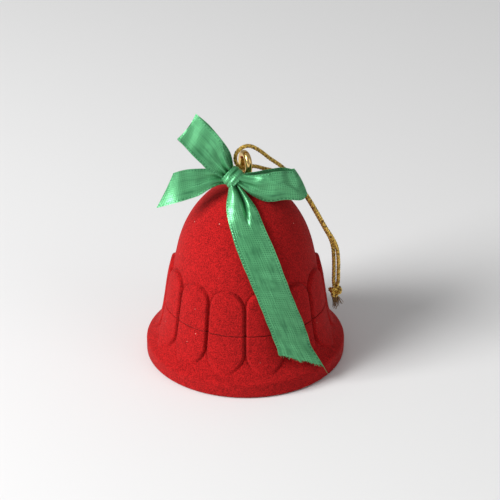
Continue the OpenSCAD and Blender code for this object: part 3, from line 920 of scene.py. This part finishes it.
def ribbon_knot():
    """The turn of ribbon round the bow's middle: a gathered band with a pocket between two folds."""
    turn = np.linspace(0, 2 * math.pi, 121)[:-1]
    share = np.linspace(0, 1, 41)
    axis = unit(np.array([0.707, -0.3, -0.62]))
    side = unit(np.array([0.707, 0.336, 0.622]) - np.dot([0.707, 0.336, 0.622], axis) * axis)
    front = np.cross(side, axis)
    front = front if front[1] < 0 else -front
    half = 2.15
    s = (share * 2 - 1)[None, :]
    a = turn[:, None]
    rolled = 0.75 + 0.25 * np.sqrt(np.maximum(1 - np.abs(s) ** 3, 0))
    pocket = 1.0 * np.exp(-((s + 0.3) / 0.16) ** 2) * ease(np.cos(a), -0.6, 0.6)
    fine = 0.1 * np.cos(2 * math.pi * 3 * share + 1.2 * np.cos(a))
    wide, deep = (3.1 * rolled + fine), (2.2 * rolled + fine - pocket)
    rows = (RIBBON_KNOT_AT + (wide * np.cos(a))[:, :, None] * side + (deep * np.sin(a))[:, :, None] * front
            + (half * s + 0 * a)[:, :, None] * axis)
    inner = (RIBBON_KNOT_AT + (1.6 * np.cos(a) + 0 * s)[:, :, None] * side
             + (0.9 * np.sin(a) + 0 * s)[:, :, None] * front + (half * s * 0.8 + 0 * a)[:, :, None] * axis)
    closed = np.concatenate([rows, inner[:, ::-1]], axis=1)
    uv = np.stack(np.broadcast_arrays(np.concatenate([share, share[::-1]])[None, :] * RIBBON_W,
                                      turn[:, None] * 2.6), axis=-1).reshape(-1, 2)
    piece = make_piece("ribbon_knot_satin", *lattice(closed, True, True), "green_ribbon", uv=uv, sharp=60)
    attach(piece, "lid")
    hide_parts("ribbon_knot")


def ribbon_band():
    """The ribbon tied round the shank, with the gathered neck that runs to the knot."""
    low = CROWN_Z + 0.95

    def wrinkles(r, z, a):
        return np.where(r > 1.3, 0.12 * np.cos(6 * a + 2.2 * z) + 0.08 * np.cos(11 * a - 1.5 * z), 0)
    outline = rounded([[EYELET_WIRE_R, low], [2.1, low + 0.2], [2.2, low + 1], [2.1, low + 1.8],
                       [EYELET_WIRE_R, low + 2.05]], 0.3)
    band = turned("ribbon_band_satin", outline, "green_ribbon", 96, wrinkles)
    start = np.array([0, 0, low + 1.5])
    line = start + (RIBBON_KNOT_AT - start) * np.linspace(0.3, 0.8, 12)[:, None]
    side, other = frames_along(line)
    a = (np.arange(40) / 40 * 2 * math.pi)[None, :, None]
    wide = 1.15 * (1 + 0.16 * np.cos(5 * a))
    rows = line[:, None] + wide * (np.cos(a) * side[:, None] + np.sin(a) * other[:, None])
    points, faces = lattice(rows, wrap_columns=True)
    faces += [list(range(40)), [11 * 40 + k for k in range(40)]]
    neck = make_piece("ribbon_neck_satin", points, faces, "green_ribbon", sharp=60)
    for piece in (band, neck):
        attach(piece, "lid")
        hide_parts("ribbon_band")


# ---------------------------------------------------------------- inside and underneath

def underside():
    outline = rounded([[0, 0.02], [PLATE_R - 0.1, 0.02], [PLATE_R - 0.1, PLATE_T], [0, PLATE_T]], 0.25)
    piece = turned("base_plate_flocked", outline, "underside_flock")
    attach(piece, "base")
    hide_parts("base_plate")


def tray():
    rim = 21.6
    outline = rounded([[0, PLATE_T], [TRAY_R, PLATE_T], [TRAY_R, TRAY_TOP_Z - 1], [rim, TRAY_TOP_Z - 1],
                       [rim, TRAY_TOP_Z], [TRAY_R - 1, TRAY_TOP_Z], [TRAY_R - 1, PLATE_T + 1],
                       [0, PLATE_T + 1]], 0.35)
    piece = turned("pad_tray_flocked", outline, "tray_plastic", 160)
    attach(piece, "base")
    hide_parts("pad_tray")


def lid_lining():
    """Satin pleated towards the crown, glued inside the lid."""
    line = part_of(bell_line(), SEAM_Z + 0.5, CROWN_Z)
    outer = line - side_of(line) * (WALL + 0.03)
    inner = line - side_of(line) * (WALL + 0.65)
    keep_outer, keep_inner = outer[outer[:, 0] > 4.5], inner[inner[:, 0] > 4.5]
    rows_out, rows_in = evenly(keep_outer, 1.0), evenly(keep_inner[::-1], 0.8)
    columns = 480
    a = (np.arange(columns + 1) / columns * 2 * math.pi)[None, :]
    pleats = 0.28 * (1 + np.cos(40 * a + 0.6 * np.sin(3 * a)))
    pleats = pleats * ease(rows_in[:, 1:], SEAM_Z + 0.6, SEAM_Z + 4)
    r = np.concatenate([rows_out[:, :1] + 0 * a, rows_in[:, :1] - pleats])
    z = np.concatenate([rows_out[:, 1:], rows_in[:, 1:]])
    rows = np.stack([r * np.sin(a), -r * np.cos(a), z + 0 * a], axis=-1)
    uv = np.stack(np.broadcast_arrays(a * 20, z), axis=-1).reshape(-1, 2)
    piece = make_piece("lid_lining_satin", *lattice(rows, wrap_rows=True), "lining_satin", uv=uv,
                       merge=0.002)
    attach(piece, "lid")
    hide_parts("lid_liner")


def ring_pad(name, node, side):
    """Half of the velvet cushion, blown up as cloth and let back into its tray."""
    edge = 1.6
    slot = 0.55
    r = PAD_R - 0.3
    low, high = PAD_LOW_Z + 0.1, PAD_TOP_Z - 0.4
    arc = np.linspace(math.asin(slot / r), math.pi - math.asin(slot / r), 60)
    border = np.concatenate([np.stack([r * np.cos(arc), r * np.sin(arc)], axis=1),
                             np.stack([np.linspace(-r, r, 42)[1:-1], np.full(40, slot)], axis=1)])
    middle = border.mean(0)
    levels = [(low, 1.2), (low + 1.0, 0.4), (low + 3, 0), (high - 3, 0), (high - edge, 0.1), (high, edge)]
    rows = []
    for z, inset in levels:
        pulled = middle + (border - middle) * (1 - inset / r)
        rows.append(np.concatenate([pulled, np.full((len(border), 1), z)], axis=1))
    rows = np.array(rows)
    rows[:, :, 1] *= side
    points, faces = lattice(rows, wrap_columns=True)
    count = len(border)
    faces += [list(range(count)), [(len(levels) - 1) * count + k for k in range(count)]]
    pad = make_piece(name, points, faces, "cushion_velvet", sharp=80)
    stuffed(pad, side, r + 0.2, low, 1.4)
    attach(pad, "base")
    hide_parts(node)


def stuffed(pad, side, most_r, low, cap):
    """Remeshes the pad, inflates it with cloth at twenty times its size, and keeps it within its tray."""
    up = 20
    pad.data.transform(((up, 0, 0, 0), (0, up, 0, 0), (0, 0, up, 0), (0, 0, 0, 1)))
    skin = pad.modifiers.new("skin", "REMESH")
    skin.mode = "VOXEL"
    skin.voxel_size = 0.8 * MM * up
    applied(pad)
    rest = points_of(pad)
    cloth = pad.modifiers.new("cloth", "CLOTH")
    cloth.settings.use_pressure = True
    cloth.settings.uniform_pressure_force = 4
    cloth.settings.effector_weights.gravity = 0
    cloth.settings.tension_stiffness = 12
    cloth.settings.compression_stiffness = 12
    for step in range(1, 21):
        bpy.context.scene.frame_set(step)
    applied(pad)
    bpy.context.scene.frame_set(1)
    moved = points_of(pad) - rest
    far = np.linalg.norm(moved, axis=1, keepdims=True)
    moved *= np.minimum(1, cap * MM * up / np.maximum(far, 1e-9))
    at = (rest + moved) / up / MM
    off = (at[:, 0] / most_r) ** 2 + ((np.abs(at[:, 1]) - most_r * 0.42) / (most_r * 0.6)) ** 2
    crown = 1 - np.clip(off, 0, 1)
    at[:, 2] += 1.1 * crown * ease(at[:, 2], PAD_TOP_Z - 4, PAD_TOP_Z)
    reach = np.hypot(at[:, 0], at[:, 1])
    at[:, :2] *= np.minimum(1, most_r / np.maximum(reach, 1e-9))[:, None]
    at[:, 1] = side * np.maximum(side * at[:, 1], 0.12)
    at[:, 2] = np.maximum(at[:, 2], low)
    pad.data.vertices.foreach_set("co", (at * MM).reshape(-1))
    pad.data.update()
    smooth = pad.modifiers.new("smooth", "SUBSURF")
    smooth.levels = 1
    applied(pad)
    cleaned(pad, sharp=80)


def points_of(piece):
    found = np.zeros(len(piece.data.vertices) * 3)
    piece.data.vertices.foreach_get("co", found)
    return found.reshape(-1, 3)


def dress_cad_nodes():
    """The hinge and the nut keep their CAD shape and get their metal."""
    for node, slot in (("hinge_leaf_base", "hinge_steel"), ("hinge_leaf_lid", "hinge_steel"),
                       ("hinge_pin", "hinge_steel"), ("eyelet_nut", "gold_wire")):
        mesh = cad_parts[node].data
        mesh.materials.clear()
        mesh.materials.append(materials[slot])


add_camera()
materials = make_materials()
add_cords()
add_stage()
lid_shell()
base_shell()
eyelet()
eyelet_collar()
loop_left()
loop_right()
tail_left()
tail_front()
ribbon_band()
ribbon_knot()
underside()
tray()
lid_lining()
ring_pad("ring_pad_front_velvet", "ring_pad_front", -1)
ring_pad("ring_pad_back_velvet", "ring_pad_back", 1)
dress_cad_nodes()
